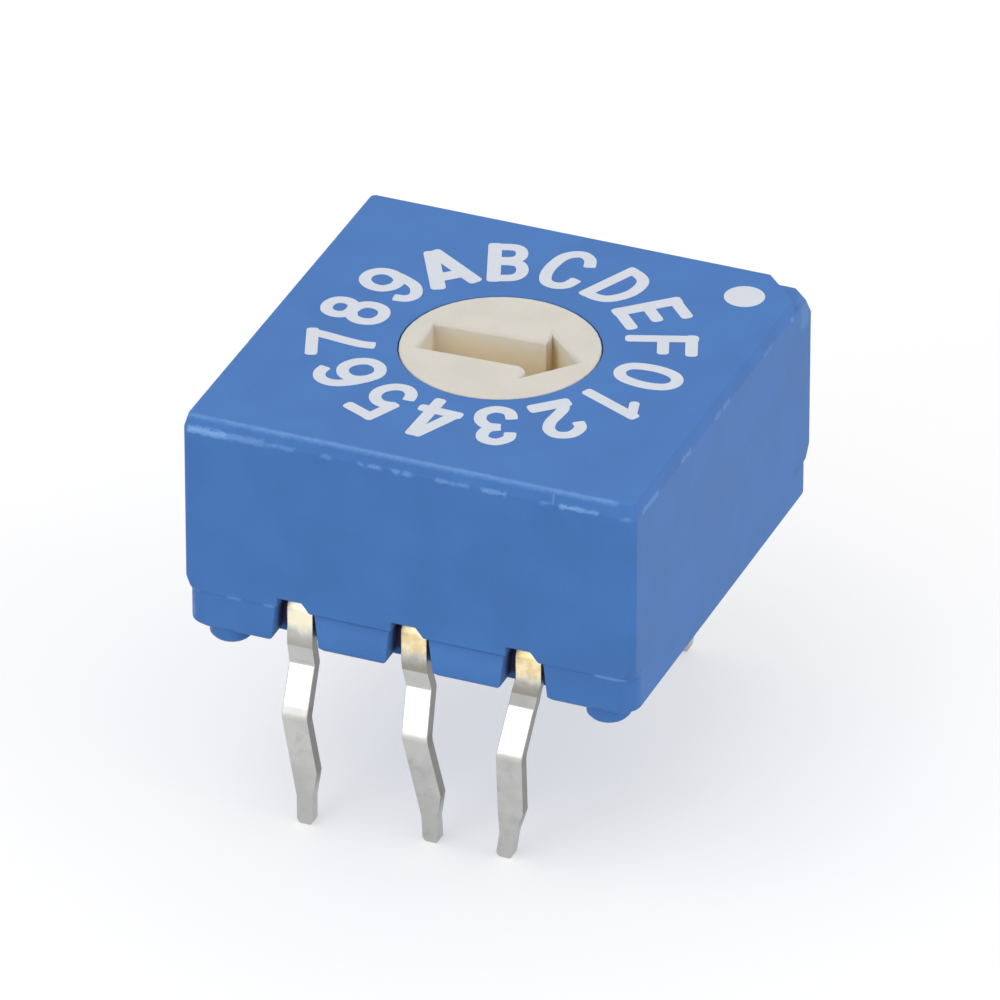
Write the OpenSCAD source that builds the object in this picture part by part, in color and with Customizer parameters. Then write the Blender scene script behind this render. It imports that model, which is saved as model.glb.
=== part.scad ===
// Sixteen position coded rotary switch for a circuit board.
// Millimetres. +X runs along the front face to the digit 0, +Y to the back, +Z up.
// Z = 0 is the plane of the six terminal tips.

/* [Body] */
// Width and depth of the square cover
body_w = 10; // [9.8:0.1:10.4]
// Height of the cover's outer side
cover_h = 4.16; // [4:0.02:4.5]
// Height of the base's outer side, without the feet
base_h = 0.88; // [0.82:0.02:1]
// How far the base stands inside the cover on each side
base_inset = 0.02; // [0.01:0.01:0.06]
// Radius of the base's upright corners
base_corner_r = 0.42; // [0.3:0.02:0.6]
// Bevel of the base's lower edges
base_bevel = 0.1; // [0.02:0.01:0.14]
// Height of the round feet under the base
foot_h = 0.36; // [0.3:0.02:0.42]
// Radius of a foot
foot_r = 0.47; // [0.35:0.01:0.5]
// Distance of a foot's centre from the middle plane, left and right
foot_x = 4.2; // [4.1:0.02:4.3]
// Distance of a foot's centre from the middle plane, front and back
foot_y = 4.38; // [4.1:0.02:4.4]
// Depth of the top edge bevel, measured inward
edge_in = 0.08; // [0.04:0.01:0.12]
// Depth of the top edge bevel, measured down
edge_down = 0.3; // [0.2:0.02:0.36]
// Radius of the upright corners
corner_r = 0.12; // [0.08:0.01:0.2]
// Radius of the upright corners at the cover's lower rim
rim_corner_r = 0.36; // [0.3:0.02:0.5]
// Height over which the corners widen to that radius
rim_corner_h = 0.3; // [0.2:0.02:0.4]
// Side of the key corner's cut
key_cut = 1; // [0.8:0.05:1.1]
// Depth of the key corner's ledge
key_sink = 0.24; // [0.18:0.02:0.3]
// Thickness of the cover's side walls
wall = 0.75; // [0.7:0.01:0.8]
// Thickness of the roof over the seal
roof = 0.9; // [0.85:0.01:0.95]
// Height of the plug that enters the cover
plug_h = 0.76; // [0.7:0.02:0.8]

/* [Rotor] */
// Diameter of the round window
window_d = 4.26; // [4.2:0.02:4.3]
// Radial clearance of the rotor in its window
window_gap = 0.025; // [0.02:0.005:0.04]
// Clearance between the other turning and fixed faces
turn_gap = 0.05; // [0.04:0.01:0.06]
// Depth of the screwdriver slot
slot_deep = 1; // [0.7:0.05:1.1]
// Half width of the arrow's shaft
slot_half = 0.53; // [0.45:0.01:0.56]
// Half width of the arrow's head
head_half = 0.93; // [0.8:0.01:0.96]
// Reach of the shaft behind the axis
tail_x = 1.6; // [1.4:0.02:1.64]
// Where the arrow's head begins
head_x = 0.82; // [0.7:0.02:0.9]
// Rounding of one inner corner of the arrow
slot_round = 0.24; // [0.1:0.02:0.3]
// Reach of the arrow's point
tip_x = 1.71; // [1.6:0.01:1.8]
// How much longer the slot's left side is towards the back
tail_slant = 0.05; // [0:0.01:0.08]
// Turn of the arrow within its detent position, in degrees
slot_turn = 2.4; // [0:0.2:4]
// Distance between the circles of two contact tracks
track_step = 0.38; // [0.37:0.01:0.38]
// Width of a contact track
track_w = 0.3; // [0.28:0.01:0.32]
// Thickness of the code disc
disc_t = 0.36; // [0.3:0.02:0.4]
// Radius of the seal's round wire
seal_wire_r = 0.27; // [0.25:0.01:0.28]
// Radius of the pivot post
post_r = 0.75; // [0.7:0.01:0.8]

/* [Detent] */
// Radius of a detent ball
ball_r = 0.35; // [0.33:0.01:0.36]
// How far inside the flange's rim the balls run
ball_in = 0.6; // [0.55:0.01:0.65]
// How far a ball rises into its dimple
click = 0.06; // [0.04:0.01:0.06]
// Number of positions
positions = 16; // [16:1:16]

/* [Terminals] */
// Distance between terminals in a row
pitch = 2.54; // [2.54:0.01:2.54]
// Distance between the two rows at the tips
row_space = 8.89; // [8.7:0.01:9]
// Width of a terminal's strip
strip_w = 0.58; // [0.54:0.01:0.6]
// Thickness of a terminal's strip
strip_t = 0.27; // [0.25:0.01:0.28]
// Reach of the terminals below the feet
leg_len = 4; // [3.5:0.1:4.2]
// Width of a terminal's tip
tip_w = 0.37; // [0.3:0.01:0.44]
// Outer face of a terminal where it leaves the body
leg_out = 4.72; // [4.7:0.01:4.74]
// Outward reach of the snap kink
kink_out = 0.52; // [0.4:0.02:0.56]
// Thickness of a contact finger
finger_t = 0.15; // [0.12:0.01:0.16]
// Width of a contact finger
finger_w = 0.34; // [0.3:0.01:0.36]
// Sideways bends of the front left terminal at waist, crest, shoulder and tip
sway_front_left = [-0.01, 0.02, 0.18, 0.13]; // [-0.7:0.01:0.7]
// Sideways bends of the front middle terminal at waist, crest, shoulder and tip
sway_front_middle = [0.06, 0.18, 0.34, 0.28]; // [-0.7:0.01:0.7]
// Sideways bends of the front right terminal at waist, crest, shoulder and tip
sway_front_right = [-0.21, -0.28, -0.37, -0.62]; // [-0.7:0.01:0.7]
// Sideways bends of the back right terminal at waist, crest, shoulder and tip
sway_back_right = [-0.03, -0.07, -0.12, -0.24]; // [-0.7:0.01:0.7]
// How much higher the front left terminal has its waist and crest
rise_front_left = [-0.03, 0]; // [-0.1:0.01:0.2]
// How much higher the front middle terminal has its waist and crest
rise_front_middle = [0, 0.1]; // [-0.1:0.01:0.2]
// How much higher the front right terminal has its waist and crest
rise_front_right = [0.07, 0.13]; // [-0.1:0.01:0.2]
// Outward bend of the front left terminal at its tip
splay_front_left = 0.25; // [-0.2:0.01:0.3]
// Outward bend of the front middle terminal at its tip
splay_front_middle = -0.08; // [-0.2:0.01:0.3]
// Outward bend of the front right terminal at its tip
splay_front_right = -0.11; // [-0.2:0.01:0.3]
// Outward bend of the back right terminal at its tip
splay_back_right = 0.15; // [-0.2:0.01:0.3]

/* [Hidden] */
$fn = 48;
half_w = body_w / 2;
base_half = half_w - base_inset;
part_z = foot_h + base_h;
total_h = part_z + cover_h;
roof_z = total_h - roof;
seat_gap = 0.02;
fit_gap = 0.05;
eps = 0.01;
// Contact tracks, from the highest bit out, and the flange that carries them
track_in = pitch + 0.08;
track_r = [for (i = [3:-1:0]) track_in + i * track_step];
flange_r = track_in + 3 * track_step + track_w / 2 + 0.09;
ball_at = flange_r - ball_in;
// Levels inside, from the feet up
floor_z = part_z - 0.08;
run_top_z = floor_z + strip_t;
plug_top_z = part_z + plug_h;
plug_half = half_w - wall - fit_gap;
plug_wall = 0.5;
pit_half = plug_half - plug_wall;
cavity_half = half_w - wall;
bore_r = flange_r + 0.1;
plate_z = plug_top_z + 0.2;
plate_t = 0.04;
disc_z = plate_z + plate_t;
flange_z = disc_z + disc_t;
ring_z = roof_z - 2 * seal_wire_r - 0.11;
flange_top_z = ring_z - turn_gap;
flange_h = flange_top_z - flange_z;
bore_z = plug_top_z + 0.1;
rotor_top_z = total_h;
rotor_r = window_d / 2 - window_gap;
hub_z = plate_z + 0.08;
hub_r = 1.2;
hub_flat = 1;
post_top_z = flange_z + 0.8;
post_hole_r = post_r + turn_gap;
post_hole_top_z = post_top_z + 0.1;
seal_r = rotor_r + seal_wire_r + seat_gap;
seal_room_r = seal_r + seal_wire_r + seat_gap;
seal_z = (flange_top_z + roof_z) / 2 + 0.03;
ball_z = ring_z + click - ball_r;
pocket_r = ball_r + 0.02;
dimple_h = click + seat_gap;
dimple_floor_r = 0.13;
dimple_mouth_r = 0.25;
spring_r = 0.26;
spring_wire_r = 0.045;
coil_sides = 6;
coil_steps = 36;
coil_turn = 30;
step = 360 / positions;
// Terminal levels, from the feet up
bend_r = strip_t + 0.15;
bend_d = leg_out - bend_r;
bend_z = run_top_z - bend_r;
neck_z = 0.25;
waist_z = -0.22;
waist_out = leg_out - 0.13;
crest_z = -1.26;
crest_out = waist_out + kink_out;
tip_out = row_space / 2 + strip_t / 2;
shoulder_z = -2.63;
taper_z = shoulder_z - 0.68;
lean_z = foot_h + 0.2;
straight = [0, 0, 0, 0];
level = [0, 0];
notch_in = leg_out - strip_t - 0.03;
notch_half = strip_w / 2 + 0.1;
mouth_wide = 0.13;
lip_in = leg_out + 0.05;
run_in = pit_half - 0.05;
// The shared ring of the code plate
common_at = 1.6;
plate_in_r = 1.36;
plate_out_r = flange_r - 0.04;
disc_out_r = flange_r - 0.02;
// The sign of a terminal's row and column
row_of = [1, -1, 1, -1];
col_of = [1, 1, -1, -1];
function reach(bit) = sqrt(track_r[bit] * track_r[bit] - pitch * pitch);
function bearing(bit) = atan2(row_of[bit] * reach(bit), col_of[bit] * pitch);

// ---------- helpers ----------

// Places a shape drawn from the feet up above the terminal tips
module stand() {
  translate([0, 0, leg_len]) children();
}

module round_square(half, r) {
  square([2 * half, 2 * (half - r)], center = true);
  square([2 * (half - r), 2 * half], center = true);
  for (sx = [-1, 1])
    for (sy = [-1, 1])
      translate([sx * (half - r), sy * (half - r)])
        circle(r, $fn = r > 0.3 ? 32 : 16);
}

function unit(v) = v / norm(v);
function side(v) = [-v[1], v[0]];
function run(p, i) = unit(p[i + 1] - p[i]);
function offset_at(p, i) =
  i == 0 ? side(run(p, 0)) :
  i == len(p) - 1 ? side(run(p, i - 1)) :
  (side(run(p, i - 1)) + side(run(p, i))) / (1 + run(p, i - 1) * run(p, i));

// A bent strip seen edge on, to the left of its path
module strip_section(path, t) {
  last = len(path) - 1;
  polygon(concat(
    path,
    [for (i = [last:-1:0]) path[i] + t * offset_at(path, i)]
  ));
}

// Turns a section drawn as outward distance and height into a solid
module across(w) {
  rotate([90, 0, 90])
    linear_extrude(w, center = true)
      children();
}

// ---------- housing ----------

module cover_shell() {
  hull() {
    translate([0, 0, part_z])
      linear_extrude(eps)
        round_square(half_w, rim_corner_r);
    translate([0, 0, part_z + rim_corner_h])
      linear_extrude(cover_h - edge_down - rim_corner_h)
        round_square(half_w, corner_r);
    translate([0, 0, total_h - eps])
      linear_extrude(eps)
        round_square(half_w - edge_in, corner_r);
  }
}

// The ledge and the slanted tip of the key corner
module key_corner() {
  s_cut = (2 * half_w - key_cut) / sqrt(2);
  s_tip = (2 * half_w - 0.4) / sqrt(2);
  s_end = 2 * half_w / sqrt(2);
  ledge = total_h - key_sink;
  rotate([90, 0, 45])
    linear_extrude(body_w, center = true)
      polygon([
        [s_cut, total_h + 1],
        [s_cut, ledge],
        [s_tip, ledge],
        [s_end, ledge - 0.56],
        [s_end + 1, ledge - 0.56],
        [s_end + 1, total_h + 1]
      ]);
}

// Gap in the cover's lower rim over one terminal, with a slanted outer lip
module rim_notch(x) {
  translate([x, 0, 0])
    rotate([90, 0, 0]) {
      linear_extrude(2 * lip_in, center = true)
        polygon([
          [-strip_w / 2 - 0.1, part_z - 0.1],
          [strip_w / 2 + 0.06, part_z - 0.1],
          [strip_w / 2 + 0.02, run_top_z + 0.03],
          [-strip_w / 2 - 0.08, run_top_z + 0.03]
        ]);
      linear_extrude(body_w + 2, center = true)
        polygon([
          [-strip_w / 2 - 0.11, part_z - 0.1],
          [strip_w / 2 + 0.12, part_z - 0.1],
          [strip_w / 2 - 0.14, run_top_z + 0.03],
          [-strip_w / 2 - 0.09, run_top_z + 0.03]
        ]);
    }
}

module cover() {
  stand()
    difference() {
      cover_shell();
      // Square room for the base's plug
      translate([-cavity_half, -cavity_half, part_z - 1])
        cube([2 * cavity_half, 2 * cavity_half, bore_z - part_z + 1]);
      // Round room for the rotor's flange
      translate([0, 0, bore_z - 1])
        cylinder(h = ring_z - bore_z + 1, r = bore_r);
      // Room for the seal
      translate([0, 0, ring_z - 1])
        cylinder(h = roof_z - ring_z + 1, r = seal_room_r);
      // Window
      translate([0, 0, ring_z])
        cylinder(h = cover_h, d = window_d);
      // Detent dimples
      for (i = [0:positions - 1])
        rotate([0, 0, i * step])
          translate([ball_at, 0, ring_z])
            cylinder(h = dimple_h, r1 = dimple_mouth_r, r2 = dimple_floor_r);
      for (i = [-1:1])
        rim_notch(i * pitch);
      key_corner();
    }
}

// The channel that a leg comes down in, which widens downward
module leg_channel(x) {
  lift = 0.2;
  translate([x, 0, 0]) {
    intersection() {
      across(4 * strip_w)
        polygon([
          [notch_in, foot_h - 1],
          [notch_in, bend_z - 0.03],
          [bend_d - 0.03, floor_z],
          [bend_d - 0.03, part_z + lift],
          [half_w + 1, part_z + lift],
          [half_w + 1, foot_h - 1]
        ]);
      rotate([90, 0, 0])
        linear_extrude(3 * body_w, center = true)
          polygon([
            [-notch_half - mouth_wide - 0.12, foot_h - 0.04],
            [notch_half + mouth_wide + 0.12, foot_h - 0.04],
            [notch_half + mouth_wide, foot_h + 0.1],
            [notch_half, part_z + 2 * lift],
            [-notch_half, part_z + 2 * lift],
            [-notch_half - mouth_wide, foot_h + 0.1]
          ]);
    }
    // Slot through the plug, down to the pit's floor
    translate([-notch_half, run_in - 0.2, floor_z])
      cube([2 * notch_half, bend_d - run_in + 0.3, 3]);
  }
}

module foot(x, y) {
  translate([x, y, 0]) {
    cylinder(h = 0.1, r1 = foot_r - 0.09, r2 = foot_r, $fn = 32);
    translate([0, 0, 0.1])
      cylinder(h = foot_h, r = foot_r, $fn = 32);
  }
}

module base() {
  stand() {
    difference() {
      union() {
        // Plinth with bevelled lower edges
        hull() {
          translate([0, 0, foot_h])
            linear_extrude(eps)
              round_square(base_half - base_bevel, base_corner_r);
          translate([0, 0, foot_h + base_bevel])
            linear_extrude(base_h - base_bevel)
              round_square(base_half, base_corner_r);
        }
        // Plug that enters the cover
        translate([-plug_half, -plug_half, part_z - 0.2])
          cube([2 * plug_half, 2 * plug_half, plug_top_z - part_z + 0.2]);
      }
      // Pit for the contact fingers
      translate([-pit_half, -pit_half, floor_z])
        cube([2 * pit_half, 2 * pit_half, 3]);
      for (i = [-1:1]) {
        leg_channel(i * pitch);
        mirror([0, 1, 0])
          leg_channel(i * pitch);
      }
    }
    // Pivot post
    translate([0, 0, floor_z - 0.1])
      cylinder(h = post_top_z - floor_z + 0.1, r = post_r);
    for (sx = [-1, 1])
      for (sy = [-1, 1])
        foot(sx * foot_x, sy * foot_y);
  }
}

// ---------- turning parts ----------

module arrow_slot() {
  rotate([0, 0, slot_turn])
    translate([0, 0, total_h - slot_deep])
      linear_extrude(slot_deep + 1)
        polygon([
          [-tail_x, -slot_half],
          for (a = [90:-22.5:0])
            [head_x - slot_round + slot_round * cos(a), slot_round * (sin(a) - 1) - slot_half],
          [head_x, -head_half],
          [tip_x, 0],
          [head_x, head_half],
          [head_x, slot_half],
          [-tail_x - tail_slant, slot_half]
        ]);
}

module hub_section(grow) {
  intersection() {
    circle(hub_r + grow);
    square([2 * (hub_flat + grow), 4 * hub_r], center = true);
  }
}

module rotor() {
  stand()
    difference() {
      union() {
        translate([0, 0, flange_z + 0.1])
          cylinder(h = rotor_top_z - flange_z - 0.1, r = rotor_r);
        translate([0, 0, flange_z])
          cylinder(h = flange_h, r = flange_r);
        translate([0, 0, hub_z])
          linear_extrude(flange_z - hub_z + 0.1)
            hub_section(0);
      }
      arrow_slot();
      // Blind hole for the pivot post
      translate([0, 0, hub_z - 1])
        cylinder(h = post_hole_top_z - hub_z + 1, r = post_hole_r);
      // Upright pockets for the detent balls and springs
      for (sx = [-1, 1])
        translate([sx * ball_at, 0, flange_z - 1])
          cylinder(h = flange_h + 2, r = pocket_r, $fn = 32);
    }
}

module seal_ring() {
  stand()
    translate([0, 0, seal_z])
      rotate_extrude()
        translate([seal_r, 0])
          circle(seal_wire_r, $fn = 12);
}

module code_disc() {
  stand()
    translate([0, 0, disc_z])
      linear_extrude(flange_z - disc_z)
        difference() {
          circle(disc_out_r);
          hub_section(0.03);
        }
}

// A window in one track of the code plate, one per run of open positions
module code_window(bit, turn) {
  span = step * pow(2, bit);
  start = bearing(bit) + step * (pow(2, bit + 1) * turn - 0.5);
  rotate([0, 0, start])
    rotate_extrude(angle = span)
      translate([track_r[bit] - track_w / 2, plate_z - 1])
        square([track_w, 2]);
}

module code_plate() {
  stand()
    difference() {
      translate([0, 0, plate_z])
        linear_extrude(plate_t)
          difference() {
            circle(plate_out_r);
            circle(plate_in_r);
          }
      for (bit = [0:3])
        for (turn = [0:pow(2, 3 - bit) - 1])
          code_window(bit, turn);
    }
}

module detent_ball(sx) {
  stand()
    translate([sx * ball_at, 0, ball_z])
      sphere(ball_r, $fn = 24);
}

// Corner points of the spring's wire at one step of its climb
function coil_ring(i, rise) = let (
  a = i * coil_turn,
  z = i * rise
) [
  for (k = [0:coil_sides - 1])
    let (
      b = k * 360 / coil_sides,
      r = spring_r + spring_wire_r * cos(b)
    )
    [r * cos(a), r * sin(a), z + spring_wire_r * sin(b)]
];

module detent_spring(sx) {
  foot_z = flange_z + spring_wire_r + eps;
  head_z = ball_z - sqrt(ball_r * ball_r - spring_r * spring_r) - spring_wire_r - eps;
  rise = (head_z - foot_z) / coil_steps;
  m = coil_sides;
  last = coil_steps * m;
  stand()
    translate([sx * ball_at, 0, foot_z])
      polyhedron(
        points = [
          for (i = [0:coil_steps])
            each coil_ring(i, rise)
        ],
        faces = [
          [for (k = [0:m - 1]) k],
          [for (k = [m - 1:-1:0]) last + k],
          for (i = [0:coil_steps - 1])
            for (k = [0:m - 1])
              let (a = i * m + k, b = i * m + (k + 1) % m)
              each [[a, a + m, b], [b, a + m, b + m]]
        ]
      );
}

// ---------- terminals ----------

// From the flat run inside the body, round the bend and down the leg
module leg_section(splay, rise) {
  strip_section(concat(
    [[bend_d, floor_z + strip_t]],
    [for (a = [15:15:90]) [bend_d + bend_r * sin(a), bend_z + bend_r * cos(a)]],
    [
      [leg_out, neck_z],
      [waist_out, waist_z + rise[0]],
      [crest_out, crest_z + rise[1]],
      [tip_out + splay, -leg_len]
    ]
  ), -strip_t);
}

// Outline of a leg seen from the front, with its sideways bends
module leg_outline(sway) {
  half = strip_w / 2;
  tip_half = tip_w / 2;
  taper = (sway[2] + sway[3]) / 2;
  polygon([
    [-half, run_top_z + 1],
    [-half, lean_z],
    [sway[0] - half, waist_z],
    [sway[1] - half, crest_z],
    [sway[2] - half, shoulder_z],
    [taper - tip_half, taper_z],
    [sway[3] - tip_half, -leg_len + 0.1],
    [sway[3] - tip_half + 0.06, -leg_len],
    [sway[3] + tip_half - 0.06, -leg_len],
    [sway[3] + tip_half, -leg_len + 0.1],
    [taper + tip_half, taper_z],
    [sway[2] + half, shoulder_z],
    [sway[1] + half, crest_z],
    [sway[0] + half, waist_z],
    [half, lean_z],
    [half, run_top_z + 1]
  ]);
}

module leg(sway, splay, rise) {
  intersection() {
    across(4 * strip_w)
      leg_section(splay, rise);
    rotate([90, 0, 0])
      linear_extrude(2 * body_w, center = true)
        leg_outline(sway);
  }
}

// The sprung finger that wipes the code plate at distance d
module finger(d) {
  top = plate_z - eps;
  across(finger_w)
    strip_section([
      [run_in - 0.5, run_top_z - finger_t],
      [d + 0.3, top - finger_t - 0.16],
      [d + 0.08, top - finger_t],
      [d - 0.08, top - finger_t],
      [d - 0.3, top - finger_t - 0.18]
    ], -finger_t);
}

// One strip: contact finger, flat run, bend and leg
module terminal(x, d, sway, splay, rise) {
  translate([x, 0, 0]) {
    finger(d);
    translate([-strip_w / 2, run_in - 0.55, floor_z])
      cube([strip_w, bend_d - run_in + 0.55, strip_t]);
    leg(sway, splay, rise);
  }
}

module coded_terminal(bit, sway, splay, rise) {
  stand()
    mirror([0, row_of[bit] < 0 ? 1 : 0, 0])
      terminal(col_of[bit] * pitch, reach(bit), sway, splay, rise);
}

module cover_node() {
  color([0.33, 0.5, 0.75]) cover();
}

module base_node() {
  color([0.3, 0.46, 0.72]) base();
}

module rotor_node() {
  color([0.88, 0.87, 0.8]) rotor();
}

module seal_ring_node() {
  color([0.1, 0.1, 0.1]) seal_ring();
}

module code_disc_node() {
  color([0.2, 0.22, 0.2]) code_disc();
}

module code_plate_node() {
  color([0.85, 0.7, 0.35]) code_plate();
}

module detent_ball_node(sx) {
  color([0.75, 0.75, 0.77]) detent_ball(sx);
}

module detent_spring_node(sx) {
  color([0.7, 0.7, 0.72]) detent_spring(sx);
}

module terminal_1_node() {
  color([0.75, 0.74, 0.7])
    coded_terminal(0, sway_back_right, splay_back_right, level);
}

module terminal_2_node() {
  color([0.75, 0.74, 0.7])
    coded_terminal(1, sway_front_right, splay_front_right, rise_front_right);
}

module terminal_4_node() {
  color([0.75, 0.74, 0.7])
    coded_terminal(2, straight, 0, level);
}

module terminal_8_node() {
  color([0.75, 0.74, 0.7])
    coded_terminal(3, sway_front_left, splay_front_left, rise_front_left);
}

module common_front_node() {
  color([0.75, 0.74, 0.7])
    stand()
      mirror([0, 1, 0])
        terminal(0, common_at, sway_front_middle, splay_front_middle, rise_front_middle);
}

module common_back_node() {
  color([0.75, 0.74, 0.7])
    stand()
      terminal(0, common_at, straight, 0, level);
}

cover_node();  // cover
base_node();  // base
rotor_node();  // rotor
seal_ring_node();  // seal_ring
code_disc_node();  // code_disc
code_plate_node();  // code_plate
detent_ball_node(1);  // detent_ball_right
detent_ball_node(-1);  // detent_ball_left
detent_spring_node(1);  // detent_spring_right
detent_spring_node(-1);  // detent_spring_left
terminal_1_node();  // terminal_1
terminal_2_node();  // terminal_2
terminal_4_node();  // terminal_4
terminal_8_node();  // terminal_8
common_front_node();  // terminal_common_front
common_back_node();  // terminal_common_back
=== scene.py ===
import math

import bmesh
import bpy
from mathutils import Matrix, Vector
from mathutils.geometry import interpolate_bezier


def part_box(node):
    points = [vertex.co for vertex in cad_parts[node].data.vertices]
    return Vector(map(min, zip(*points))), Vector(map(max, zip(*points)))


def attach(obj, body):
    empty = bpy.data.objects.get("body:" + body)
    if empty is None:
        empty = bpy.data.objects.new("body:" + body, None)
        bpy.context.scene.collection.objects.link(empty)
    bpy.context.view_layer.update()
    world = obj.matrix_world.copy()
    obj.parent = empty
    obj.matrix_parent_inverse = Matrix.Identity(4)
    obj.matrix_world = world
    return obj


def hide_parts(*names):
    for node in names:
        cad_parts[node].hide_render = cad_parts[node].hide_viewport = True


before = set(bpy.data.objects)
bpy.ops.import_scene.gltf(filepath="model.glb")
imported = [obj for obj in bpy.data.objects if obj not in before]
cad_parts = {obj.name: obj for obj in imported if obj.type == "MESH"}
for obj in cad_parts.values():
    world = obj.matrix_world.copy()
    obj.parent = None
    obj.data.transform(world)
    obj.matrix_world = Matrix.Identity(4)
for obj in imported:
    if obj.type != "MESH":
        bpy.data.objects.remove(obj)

bl_info = {
    "name": "Coded Rotary Switch",
    "version": (1, 0, 0),
    "blender": (4, 5, 0),
    "location": "View3D > Sidebar > Switch",
    "description": "Finishes the pieces of a sixteen-position coded rotary switch",
    "category": "Add Mesh",
}

MM = 0.001

# ---------------------------------------------------------------------------
# Places that follow from the frame
# ---------------------------------------------------------------------------

COVER_LOW, COVER_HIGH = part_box("cover")
ROTOR_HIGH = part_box("rotor")[1]

# In mm, for the patterns of the materials
HALF = COVER_HIGH.x / MM
TOP = COVER_HIGH.z / MM
SEAM = COVER_LOW.z / MM
ROTOR_TOP = ROTOR_HIGH.z / MM

TERMINALS = [
    "terminal_8",
    "terminal_common_front",
    "terminal_2",
    "terminal_1",
    "terminal_common_back",
    "terminal_4",
]

# ---------------------------------------------------------------------------
# Which edges get rounded
# ---------------------------------------------------------------------------

# Points of a CAD node that lie closer than this are joined
CAD_WELD = 0.0005 * MM

# Edges of a CAD node that turn by less are taken out, in degrees
FLAT_TURN = 0.8

# Least turn of an edge that gets rounded, in degrees
MOULDED_TURN = 14
SLOT_TURN = 30
RIM_TURN = 60

# Places closer than this count as the same
SAME = 0.01 * MM

# How far in from its sides and down from its top the cover's edges can be seen
COVER_WALL = 1.3 * MM
KEY_DEPTH = 0.5 * MM

# The arrow slot's edges lie at least this far inside the rotor's rim
SLOT_MARGIN = 0.1 * MM

# Height of the terminals' outward kink, and how far up and down its edges lie
CREST = 2.8 * MM
CREST_REACH = 0.3 * MM

# ---------------------------------------------------------------------------
# Wear, painted edge highlights and painted shadow on the blue plastic, in mm
# ---------------------------------------------------------------------------

# The bevel under the cover's top runs this far in and down
BEVEL_IN = 0.08
BEVEL_DOWN = 0.30

# How far out from the middle a place has to be to belong to a side
FACE_BAND = (HALF - 0.25, HALF - 0.12)

# The seam between cover and base shows this far in from the cover's sides
SEAM_REACH = 0.14

# Marks along a line, each a middle, a half length and a strength
MARK_FADE = 0.10

# The pale marks below are partly scuffs and partly painted edge highlights
FRONT_CHIPS_AND_GLINTS = [
    (-2.85, 0.28, 0.30), (-1.79, 0.05, 0.30), (-1.05, 0.04, 0.35), (-0.72, 0.08, 0.45),
    (-0.26, 0.04, 0.40), (0.01, 0.06, 0.45), (0.75, 0.12, 0.40), (1.15, 0.15, 0.32),
    (1.90, 0.22, 0.48), (3.02, 0.06, 0.28), (3.58, 0.20, 0.75), (3.98, 0.10, 0.50),
    (4.78, 0.05, 0.28),
]
FRONT_GOUGES_AND_GLINTS = [(-4.45, 0.40, 0.95), (-3.60, 0.35, 0.50)]
FRONT_SEAM_SCUFFS_AND_HIGHLIGHTS = [
    (-4.79, 0.07, 0.40), (-3.89, 0.10, 0.38), (-3.12, 0.07, 0.38), (4.46, 0.30, 0.50),
]
RIGHT_STREAKS = [
    (-4.15, 0.40, 0.50), (-2.15, 0.24, 0.50), (-0.42, 0.12, 0.40), (0.10, 0.14, 0.45),
    (2.45, 0.20, 0.28), (3.80, 0.04, 0.45),
]

# Single marks, each a place along its side and a height; the last one is on the seam
FRONT_LINK = (3.19, TOP - 0.16)
# A pale mark on the base's rounded left corner, partly scuffed and partly a painted highlight
FRONT_CORNER_SCUFF_AND_HIGHLIGHT = (-4.86, SEAM - 0.52)
# A painted highlight below the key corner on the right side
RIGHT_KEY_HIGHLIGHT = (4.55, TOP - 0.55)
# A darker slanted mark low on the right side near the front
RIGHT_SLANT = (-4.68, SEAM + 0.13)
# Painted shadow on the seam near the back of the right side
RIGHT_SEAM_SHADOW = 4.20

# ---------------------------------------------------------------------------
# Places in the arrow slot where shade is painted, in mm
# ---------------------------------------------------------------------------

# Square of the radius within which the slot lies
SLOT_ROOM = (3.6, 3.9)
SLOT_DEPTH = (ROTOR_TOP - 0.55, ROTOR_TOP - 0.03)

# The narrow nook behind the arrow's barb, where brown shade and faint light are painted, by its
# middle and its nearer end
NOOK_X = 0.87
NOOK_Y = (0.53, 0.63)

# ---------------------------------------------------------------------------
# Bands of height on a terminal, in mm: where a change starts and ends
# ---------------------------------------------------------------------------

TIP_SHADE = (0.5, 1.5)
CUT_AND_SHADE_SIDES = (0.7, 1.4)
LEG_TOP = (2.4, 2.9)
STAIN_SHADE_LOW = (4.20, 4.25)
STAIN_SHADE_HIGH = (4.27, 4.68)
GOLD_LINE = (4.50, 4.82)
UPPER_BEND = (4.75, 5.00)

# ---------------------------------------------------------------------------
# Strokes of the printed characters, in mm, x to the right and y outwards.
# A bar runs straight between its outer ends, a curve is smooth and open,
# and a loop is smooth and closed. The last number is the stroke's width.
# ---------------------------------------------------------------------------

STROKE = 0.26
BOLD = 0.32

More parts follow.
